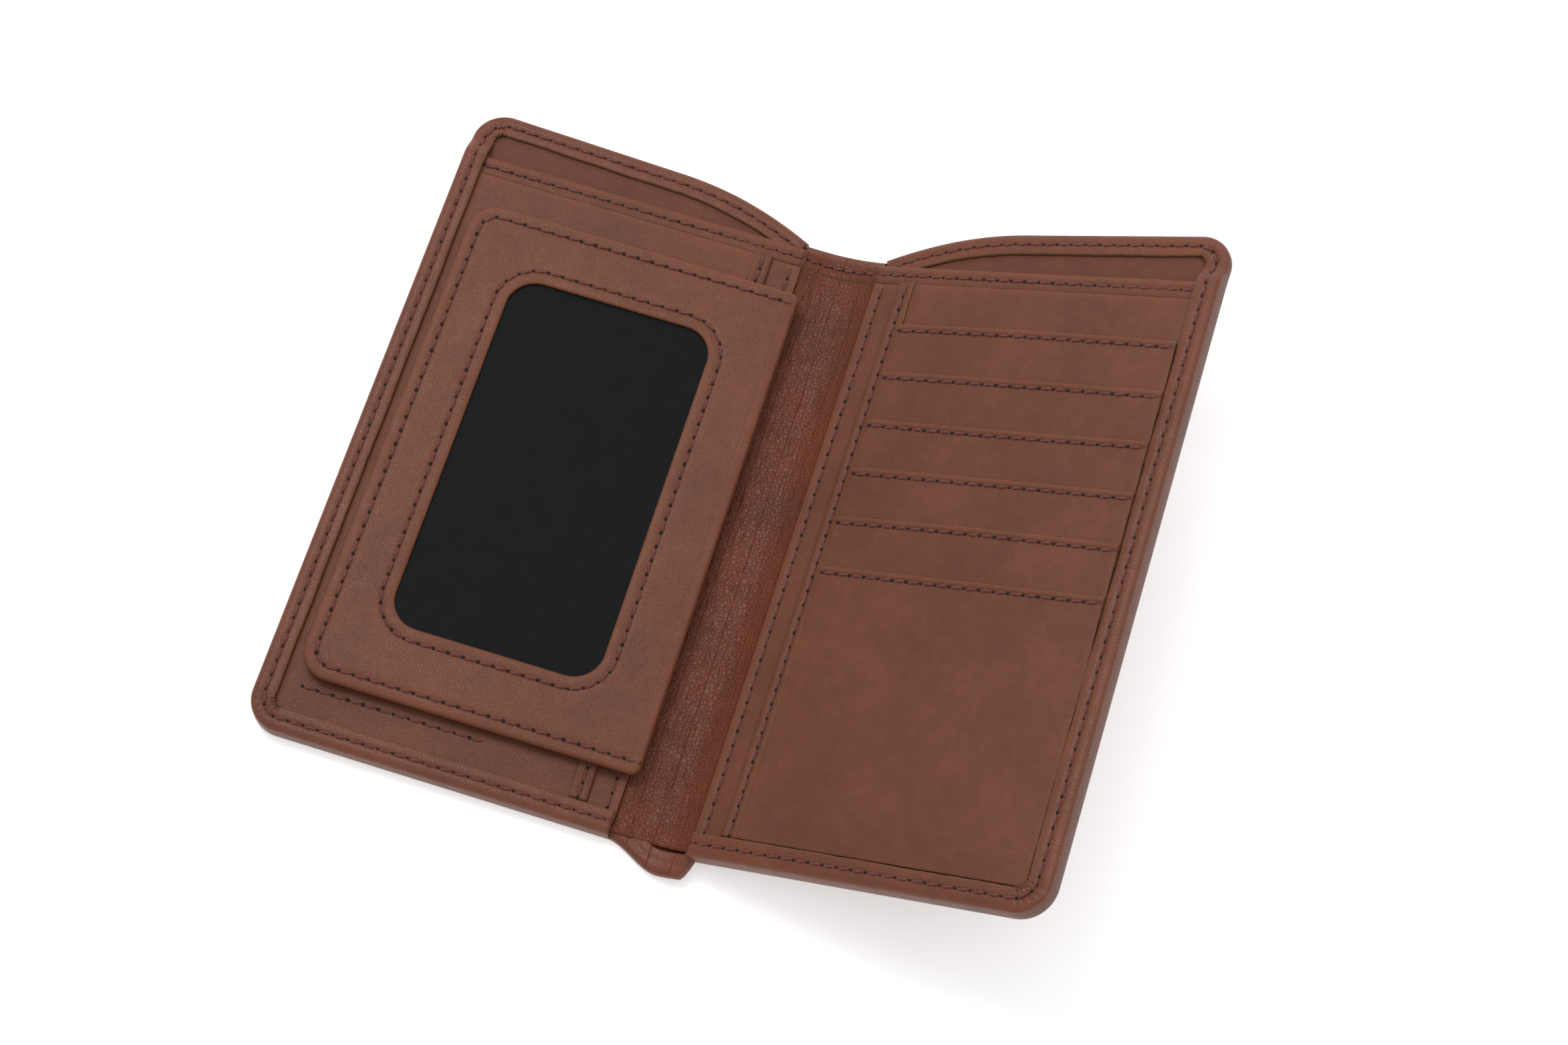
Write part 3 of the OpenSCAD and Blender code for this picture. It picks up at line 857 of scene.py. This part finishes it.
def front_pocket(half, body, side):
    us = np.concatenate([FRONT_FOLD + np.array([0, 0.04, 0.12, 0.25, 0.45, 0.8, 1.3, 2.0]),
                         np.arange(FRONT_FOLD + 3, HALF_W - UNDER_HEM, 3.0)])
    low, high = -WALLET_H / 2 + UNDER_HEM, POCKET_TOP
    ys = spread(low, high, 2.0, (0.04, 0.12, 0.25, 0.33))
    seed = 61 if side == "left" else 67

    def top(u, y):
        puff = 0.20 * np.sin(np.pi * np.clip((u - 14) / 78, 0, 1))
        puff = puff * np.sin(np.pi * np.clip((y - low) / (high - low), 0, 1))
        return FACE_N + (puff if side == "left" else 0) + 0.10 * wobble(u, y, seed, 22.0) * (u > 12)

    obj = sheet_solid(side + "_front_pocket_leather", half, us, ys, top, SHEET_T, INNER, wear_and_sheen=0.6)
    finish_piece(obj, body, "inner_leather", side + "_front_pocket")
    # the leather turned over at the fold, with its raw edge
    start = -WALLET_H / 2 + HEM_W + 0.2
    line = spread(start, high, 0.8)
    jag = 0.28 * wobble(line, line * 0, seed + 1, 5.0) + 0.16 * wobble(line, line * 0, seed + 2, 1.3)
    lift = 0.10 + 0.16 * np.abs(wobble(line, line * 0, seed + 3, 9.0))
    thick = 0.62
    pull = near(line % PITCH, 0, 0.6) + near(line % PITCH, PITCH, 0.6)
    loop = [(0.0, -0.3, 0), (0.02, 0.05, 0), (0.12, 0.3, 0), (0.35, thick - 0.12, 0), (0.8, thick, 0),
            (1.5, thick + 0.04, 0), (1.95, thick - 0.05, 0), (2.25, thick - 0.2, 1), (2.5, thick - 0.3, 1),
            (2.75, thick - 0.2, 1), (3.1, thick - 0.02, 0), (3.7, thick + 0.02, 0), (4.2, thick, 2),
            (FRONT_TURN - 0.05, thick - 0.05, 3), (FRONT_TURN, thick - 0.35, 3),
            (FRONT_TURN - 0.02, -0.02, 3), (2.4, -0.05, 0)]
    cols, raws = [], []
    for d, n, kind in loop:
        u = FRONT_FOLD + d + (jag if kind in (2, 3) else 0)
        level = FACE_N + n - (0.10 * pull if kind == 1 else 0) + (lift if kind in (2, 3) and n > 0.1 else 0)
        cols.append(half.at(u + line * 0, line, level + line * 0))
        raws.append(np.full(len(line), 1.0 if kind == 3 else 0.25 if kind == 2 else 0.0))
    grid = np.stack(cols, 1)
    raws = np.stack(raws, 1)
    obj = loft(side + "_pocket_turned_edge", grid, INNER, {"raw": raws, "wear_and_sheen": raws * 0})
    finish_piece(obj, body, "inner_leather")
    seam = np.arange(start + 0.4, high - 0.3, 1.0)
    half_row(half, body, FRONT_FOLD + 2.5, seam, FACE_N + thick - 0.14)


# ---------------------------------------------------------------- card slots
def card_slot(k):
    """One shingled slot strip: folded top edge, a seam below it, a slight bulge where cards go."""
    last = k == SLOT_COUNT + 1
    y_top = FIRST_SLOT - (k - 1) * SLOT_PITCH
    length = SLOT_LEN if not last else y_top + WALLET_H / 2 - HEM_W - 0.2
    us = spread(SLOT_U0 - 0.4, SLOT_U1 + 0.1, 2.0, (0.03, 0.1, 0.2, 0.3))
    back = np.concatenate([[0, 0.03, 0.1, 0.22, 0.4, 0.7, 1.1, 1.5, 1.75, 2.0, 2.25, 2.5, 3.0, 3.8, 5.0],
                           np.arange(6.5, length - 0.5, 1.5), length - np.array([0.3, 0.2, 0.1, 0.03, 0.0])])
    ys = (y_top - back)[::-1]
    seed = 70 + k
    rise = SLOT_LEN * math.sin(SLOT_TILT)

    def top(u, y):
        d = y_top - y
        slope = SLOT_N + SLOT_T + rise - np.minimum(d, SLOT_LEN) * math.sin(SLOT_TILT)
        fold = 0.12 * near(d, 0.8, 0.9) - 0.22 * near(d, 2.0, 0.40)
        bulge = (0.16 if not last else 0.22) * across(u) * smooth(d / 5) * smooth((length - d) / 5)
        mouth = 0.22 * across(u) * near(d, 0.4, 1.6)
        return slope + fold + bulge + mouth + 0.09 * wobble(u, y, seed, 15.0)

    def under(u, y):
        return top(u, y) - SLOT_T

    bow = 0.35 * math.sin(seed * 1.7)

    def across(u):
        """0 at the slot's ends, 1 in its middle."""
        return np.sin(np.pi * np.clip((u - SLOT_U0) / (SLOT_U1 - SLOT_U0), 0, 1))

    name = "card_slot_%d_leather" % k if not last else "lower_slot_leather"
    u, y = np.meshgrid(us, ys)
    rim = rim_distance(u, y)
    drop = rolled(rim, SLOT_T / 2)
    bent = y + bow * np.sin(np.pi * (u - SLOT_U0) / (SLOT_U1 - SLOT_U0)) * smooth((y - ys.min()) / 6)
    loops = np.concatenate([RIGHT.at(u, bent, top(u, y) - drop),
                            RIGHT.at(u, bent, under(u, y) + drop * 0.999)[:, ::-1]], 1)
    rim2 = np.concatenate([rim, rim[:, ::-1]], 1)
    y2 = np.concatenate([y, y[:, ::-1]], 1)
    # the folded top edge is lightened: partly rubbing, partly a painted highlight
    obj = loft(name, loops, INNER, {"raw": rim2 * 0, "wear_and_sheen": 0.5 * near(y2, y_top - 0.3, 0.7),
                                    # painted shade along the seam groove below the fold
                                    "dark": 0.55 * near(y2, y_top - 2.0, 0.36)})
    finish_piece(obj, "right_half", "inner_leather", "card_slot_%d" % k if not last else "lower_slot_panel")
    line = np.arange(SLOT_U0 + 0.6, SLOT_U1 - 0.3, 1.0)
    seam_y = y_top - 2.0 + bow * np.sin(np.pi * (line - SLOT_U0) / (SLOT_U1 - SLOT_U0))
    half_row(RIGHT, "right_half", line, seam_y, top(line, y_top - 2.0 + line * 0) + 0.1)


# ---------------------------------------------------------------- identity flap
def rounded_loop(u0, u1, y0, y1, radii, per_side=(60, 90), per_corner=14):
    """Closed outline, anticlockwise from the lower corner at u0: points and outward normals."""
    corners = [((u0, y0), math.pi), ((u1, y0), 1.5 * math.pi), ((u1, y1), 0.0), ((u0, y1), 0.5 * math.pi)]
    pts, outs = [], []
    for i, ((cu, cy), start) in enumerate(corners):
        r = radii[i]
        centre = (cu + (r if cu == u0 else -r), cy + (r if cy == y0 else -r))
        for a in np.linspace(start, start + math.pi / 2, per_corner):
            pts.append((centre[0] + r * math.cos(a), centre[1] + r * math.sin(a)))
            outs.append((math.cos(a), math.sin(a)))
        nxt = corners[(i + 1) % 4][0]
        r2 = radii[(i + 1) % 4]
        end_c = (nxt[0] + (r2 if nxt[0] == u0 else -r2), nxt[1] + (r2 if nxt[1] == y0 else -r2))
        a = start + math.pi / 2
        end = (end_c[0] + r2 * math.cos(a), end_c[1] + r2 * math.sin(a))
        count = per_side[i % 2]
        for t in np.linspace(0, 1, count + 2)[1:-1]:
            pts.append(((1 - t) * (centre[0] + r * math.cos(a)) + t * end[0],
                        (1 - t) * (centre[1] + r * math.sin(a)) + t * end[1]))
            outs.append((math.cos(a), math.sin(a)))
    return np.array(pts), np.array(outs)


FLAP_Y0, FLAP_Y1 = FLAP_MID - FLAP_H / 2, FLAP_MID + FLAP_H / 2
WIN_U0, WIN_U1 = FLAP_W - WINDOW_MARGIN - WINDOW_W, FLAP_W - WINDOW_MARGIN
WIN_Y0, WIN_Y1 = FLAP_Y0 + WINDOW_LOW, FLAP_Y0 + WINDOW_LOW + WINDOW_H


def flap_relief(u, y):
    """Slow waviness of the flap's face."""
    return 0.16 * wobble(u, y, 81, 30.0) + 0.05 * wobble(u, y, 82, 9.0)


def flap_loop(d):
    """The flap's outline moved in by d."""
    radii = [max(r - d, 0.3) for r in (2.6, FLAP_R, FLAP_R, 2.6)]
    return rounded_loop(FLAP_FOLD + d, FLAP_W - d, FLAP_Y0 + d, FLAP_Y1 - d, radii)[0]


def window_loop(d):
    """The window's outline moved out by d."""
    return rounded_loop(WIN_U0 - d, WIN_U1 + d, WIN_Y0 - d, WIN_Y1 + d, (WINDOW_R + d,) * 4)[0]


def flap_frame():
    outline = flap_loop(0)
    thick = FLAP_HIGH - FLAP_LOW
    mid, r = FLAP_LOW + thick / 2, thick / 2
    sewn = 1 - near(outline[:, 0], FLAP_FOLD, 1.5)
    run = np.concatenate([[0], np.cumsum(np.linalg.norm(np.diff(outline, axis=0), axis=1))])
    wave = 0.12 * wobble(run, run * 0, 83, 12.0)
    cols, wear_and_sheen, raw, dark = [], [], [], []

    def add(flat, level, rubbing_and_sheen=0.0, cut=0.0, shade_in_groove=0.0):
        cols.append(FLAP.at(flat[:, 0], flat[:, 1], level))
        for values, value in ((wear_and_sheen, rubbing_and_sheen), (raw, cut), (dark, shade_in_groove)):
            values.append(np.full(len(flat), value))

    # the rolled rim is lightened, its upper half most: partly rubbing, partly a painted highlight
    for a in np.radians([-80, -50, -20, 5, 25, 45, 62, 78]):
        add(flap_loop(r * 0.95 * (1 - math.cos(a))), mid + wave * 0.4 + r * math.sin(a),
            0.6 if a > 0 else 0.2)
    for d, n in ((1.8, 0.02), (2.5, 0.0), (3.05, -0.14), (3.4, -0.26), (3.75, -0.14), (4.3, 0.0),
                 (5.5, 0.03)):
        flat = flap_loop(d)
        # painted shade at the bottom of the stitch groove
        add(flat, FLAP_HIGH + (n * sewn if n < 0 else n) + flap_relief(flat[:, 0], flat[:, 1]), 0.1,
            shade_in_groove=0.3 if n < -0.2 else 0.0)
    start, end = flap_loop(5.5), window_loop(5.4)
    for t in np.linspace(0.1, 0.9, 9):
        flat = start * (1 - t) + end * t
        add(flat, FLAP_HIGH + 0.04 + flap_relief(flat[:, 0], flat[:, 1]))
    for d, n in ((5.0, 0.02), (4.3, 0.0), (3.95, -0.12), (3.6, -0.24), (3.25, -0.12), (2.7, 0.02),
                 (1.6, 0.04), (0.8, -0.02), (0.35, -0.12), (0.1, -0.26)):
        flat = window_loop(d)
        # the window's rim is lightened: partly rubbing, partly a painted highlight
        add(flat, FLAP_HIGH + n + flap_relief(flat[:, 0], flat[:, 1]), 0.3 if d < 1 else 0.1,
            # the second value below is painted shade in the window's stitch groove
            0.3 if d < 0.3 else 0.0, 0.3 if n == -0.24 else 0.0)
    for d, level, cut in ((0.0, FLAP_HIGH - 0.75, 0.8), (0.1, FLAP_HIGH - 1.1, 0.8)):
        add(window_loop(d), level + outline[:, 0] * 0, 0.2, cut)
    under = FLAP_LOW + 0.85 + outline[:, 0] * 0
    add(window_loop(3.0), under)
    add(flap_loop(2.4), under)
    obj = ring("flap_frame_leather", np.stack(cols, 1), FLAPPY,
               {"raw": np.stack(raw, 1), "wear_and_sheen": np.stack(wear_and_sheen, 1), "dark": np.stack(dark, 1)})
    finish_piece(obj, "id_flap", "flap_leather", "flap_frame", "flap_fold")


def flap_seams():
    """Seam round the three sewn sides, on the face and the back, and round the window."""
    line = flap_loop(3.4)
    line = line[line[:, 0] > FLAP_FOLD + 3.5]
    line = np.vstack([[FLAP_FOLD + 0.9, line[0, 1]], line, [FLAP_FOLD + 0.9, line[-1, 1]]])
    half_row(FLAP, "id_flap", line[:, 0], line[:, 1],
             FLAP_HIGH - 0.08 + flap_relief(line[:, 0], line[:, 1]), hole=0.56)
    back = FLAP.at(line[::-1, 0], line[::-1, 1], FLAP_LOW - 0.02)
    threads["id_flap"].row(back, np.array(np.broadcast_to(-FLAP.rise, back.shape)), hole=0.4)
    loop = window_loop(3.6)
    loop = np.vstack([loop, loop[:1]])
    half_row(FLAP, "id_flap", loop[:, 0], loop[:, 1],
             FLAP_HIGH - 0.08 + flap_relief(loop[:, 0], loop[:, 1]), hole=0.52)


def flap_back():
    """The flap's rear leather, sewn round its edge."""
    us = spread(FLAP_FOLD + 1.2, FLAP_W - 0.4, 3.0, (0.04, 0.15, 0.3, 0.4))
    ys = spread(FLAP_Y0 + 0.4, FLAP_Y1 - 0.4, 3.0, (0.04, 0.15, 0.3, 0.4))
    u, y = np.meshgrid(us, ys)
    # pull the square grid's free corners in to the flap's rounded ones
    cy = np.sign(y - FLAP_MID) * (FLAP_H / 2 - FLAP_R) + FLAP_MID
    du, dy = u - (FLAP_W - FLAP_R), y - cy
    inside = (du > 0) & (dy * np.sign(y - FLAP_MID) > 0)
    reach = np.maximum(np.abs(du), np.abs(dy))
    size = np.hypot(du, dy)
    scale = np.where(inside & (size > 0), reach / np.maximum(size, 1e-6), 1.0)
    u = np.where(inside, FLAP_W - FLAP_R + du * scale, u)
    y = np.where(inside, cy + dy * scale, y)
    rim = rim_distance(*np.meshgrid(us, ys))
    drop = rolled(rim, 0.42)
    low = FLAP_LOW - 0.10 * wobble(u, y, 86, 20.0) + 0.12 * near(rim, 3.0, 0.5)
    loops = np.concatenate([FLAP.at(u, y, FLAP_LOW + 0.86 - drop * 0.99),
                            FLAP.at(u, y, low + drop)[:, ::-1]], 1)
    obj = loft("flap_back_leather", loops, FLAPPY, {"raw": loops[..., 0] * 0, "wear_and_sheen": loops[..., 0] * 0})
    finish_piece(obj, "id_flap", "flap_leather", "flap_back_panel")


def mesh_window():
    """Plain-weave nylon: crossing threads that pass over and under each other."""
    step = WEAVE / 3
    us = WIN_U0 - 2.4 + step * np.arange(int((WINDOW_W + 4.8) / step))
    ys = WIN_Y0 - 2.4 + step * np.arange(int((WINDOW_H + 4.8) / step))
    u, y = np.meshgrid(us, ys)
    phase_u, phase_y = np.pi * (u - us[0]) / WEAVE, np.pi * (y - ys[0]) / WEAVE
    warp = np.sqrt(np.abs(np.sin(phase_u))) * (0.5 - 0.5 * np.sign(np.sin(phase_u)) * np.sin(phase_y))
    weft = np.sqrt(np.abs(np.sin(phase_y))) * (0.5 + 0.5 * np.sign(np.sin(phase_y)) * np.sin(phase_u))
    height = 0.20 * np.maximum(warp, weft)
    slack = 0.18 * wobble(u[::6, ::6], y[::6, ::6], 91, 22.0)
    rows = np.minimum(np.arange(u.shape[0]) // 6, slack.shape[0] - 1)
    cols = np.minimum(np.arange(u.shape[1]) // 6, slack.shape[1] - 1)
    base = FLAP_HIGH - 1.25
    top = base + height + slack[rows][:, cols] * 0.4
    grid = FLAP.at(u, y, top)
    low = FLAP.at(u[::len(ys) - 1, ::1], y[::len(ys) - 1, ::1], base - 0.12)
    n_rows, n_cols = u.shape
    faces = [list(f) for f in grid_faces(n_rows, n_cols)]
    index = np.arange(n_rows * n_cols).reshape(n_rows, n_cols)
    rim = list(index[0]) + list(index[1:, -1]) + list(index[-1, :-1][::-1]) + list(index[1:-1, 0][::-1])
    edge = grid.reshape(-1, 3)[rim] * 1.0
    edge[:, 2] = low[0, 0, 2]
    base_i = n_rows * n_cols
    count = len(rim)
    for i in range(count):
        j = (i + 1) % count
        faces.append([base_i + i, base_i + j, rim[j], rim[i]])
    faces.append([base_i + i for i in range(count)])
    obj = make_object("flap_nylon_mesh", np.vstack([grid.reshape(-1, 3), edge]), faces, [NYLON])
    finish_piece(obj, "id_flap", "nylon_mesh", "flap_mesh_window")


def mounting_leaf():
    us = spread(FLAP_FOLD + 1.3, 26.5, 2.0, (0.04, 0.12, 0.25, 0.3))
    ys = spread(FLAP_Y0 + 1.0, FLAP_Y1 - 1.0, 2.0, (0.04, 0.12, 0.25, 0.3))
    obj = sheet_solid("flap_mounting_leather", LEFT, us, ys,
                      lambda u, y: LEAF_N + 0.6 + 0.04 * wobble(u, y, 95, 12.0), 0.6, FLAPPY, wear_and_sheen=0.4)
    finish_piece(obj, "left_half", "flap_leather", "flap_mounting_leaf")
    seam = np.arange(FLAP_Y0 + 3, FLAP_Y1 - 3, 1.0)
    half_row(LEFT, "left_half", 24.0, seam, LEAF_N + 0.55)


# ---------------------------------------------------------------- assemble
for half_frame, body_name, side_name in ((LEFT, "left_half", "left"), (RIGHT, "right_half", "right")):
    build_cover(half_frame, body_name, side_name)
    inner_panel(half_frame, body_name, side_name)
    rear_pocket(half_frame, body_name, side_name)
    front_pocket(half_frame, body_name, side_name)
spine_cover()
spine_threads("cover_spine_thread", float(top_y(0)) - HEM_STITCH, lambda ss: LOW_HEM_N - 0.16 + ss * 0,
              -EDGE_U, 3 * STRIP_W + EDGE_U)
inner_spine()
for number in range(1, SLOT_COUNT + 2):
    card_slot(number)
flap_frame()
flap_seams()
flap_back()
mesh_window()
mounting_leaf()
# seam of the hidden flap pocket, seen below the flap
half_row(LEFT, "left_half", np.arange(*FLAP_POCKET_SEAM, -1.0), FLAP_Y0 - 2.4, FACE_N + 0.1, hole=0.54)
for body_name, collected in threads.items():
    finish_piece(collected.build(body_name + "_threads"), body_name,
                 "flap_leather" if body_name == "id_flap" else "cover_leather")

for node, material in (("left_note_lining", LINING), ("right_note_lining", LINING),
                       ("left_stiffener", BOARD), ("right_stiffener", BOARD), ("slot_lining", FABRIC)):
    mesh = frame["nodes"][node].data
    mesh.materials.clear()
    mesh.materials.append(material)


# ---------------------------------------------------------------- floor, light, camera
def area_light(name, where, target, size, power, colour=(1, 1, 1)):
    data = bpy.data.lights.new(name, "AREA")
    data.shape, data.size, data.size_y = "RECTANGLE", size[0], size[1]
    data.energy, data.color = power, colour
    lamp = bpy.data.objects.new(name, data)
    lamp.location = where
    lamp.rotation_euler = (Vector(target) - Vector(where)).to_track_quat("-Z", "Y").to_euler()
    bpy.context.scene.collection.objects.link(lamp)


def studio():
    k = Nodes("pale_floor")
    where = k.where
    k.set("Base Color", k.mix(k.noise(where, 300.0), (0.93, 0.93, 0.93, 1), (0.96, 0.96, 0.96, 1)))
    k.set("Roughness", 0.8)
    s = 3.0
    k.set("Emission Color", (1, 1, 1, 1))
    k.set("Emission Strength", 0.42)
    floor = make_object("floor", [(-s, -s, 0), (s, -s, 0), (s, s, 0), (-s, s, 0)], [[0, 1, 2, 3]], [k.mat])
    world = bpy.data.worlds.new("studio")
    world.use_nodes = True
    world.node_tree.nodes["Background"].inputs[0].default_value = (1, 1, 1, 1)
    world.node_tree.nodes["Background"].inputs[1].default_value = 0.42
    bpy.context.scene.world = world
    area_light("key", (-0.42, 0.34, 1.0), (-0.02, 0, 0), (0.5, 0.5), 5.0)
    area_light("top", (0.25, 0.0, 1.3), (0, 0, 0), (1.2, 1.2), 5.0)
    area_light("rim", (-0.2, 0.9, 0.5), (0, 0, 0), (0.9, 0.3), 1.6)
    bpy.context.scene.view_settings.view_transform = "Standard"


def camera():
    data = bpy.data.cameras.new("camera")
    data.sensor_width = 36.0
    data.lens = LENS
    cam = bpy.data.objects.new("camera", data)
    up, round_z = math.radians(CAMERA_UP), math.radians(CAMERA_ROUND)
    away = Vector((math.cos(up) * math.cos(round_z), math.cos(up) * math.sin(round_z), math.sin(up)))
    turn = away.to_track_quat("Z", "Y").to_matrix() @ Matrix.Rotation(math.radians(CAMERA_ROLL), 3, "Z")
    cam.matrix_world = Matrix.Translation(Vector(LOOK_AT) + away * CAMERA_DISTANCE) @ turn.to_4x4()
    bpy.context.scene.collection.objects.link(cam)
    bpy.context.scene.camera = cam


studio()
camera()
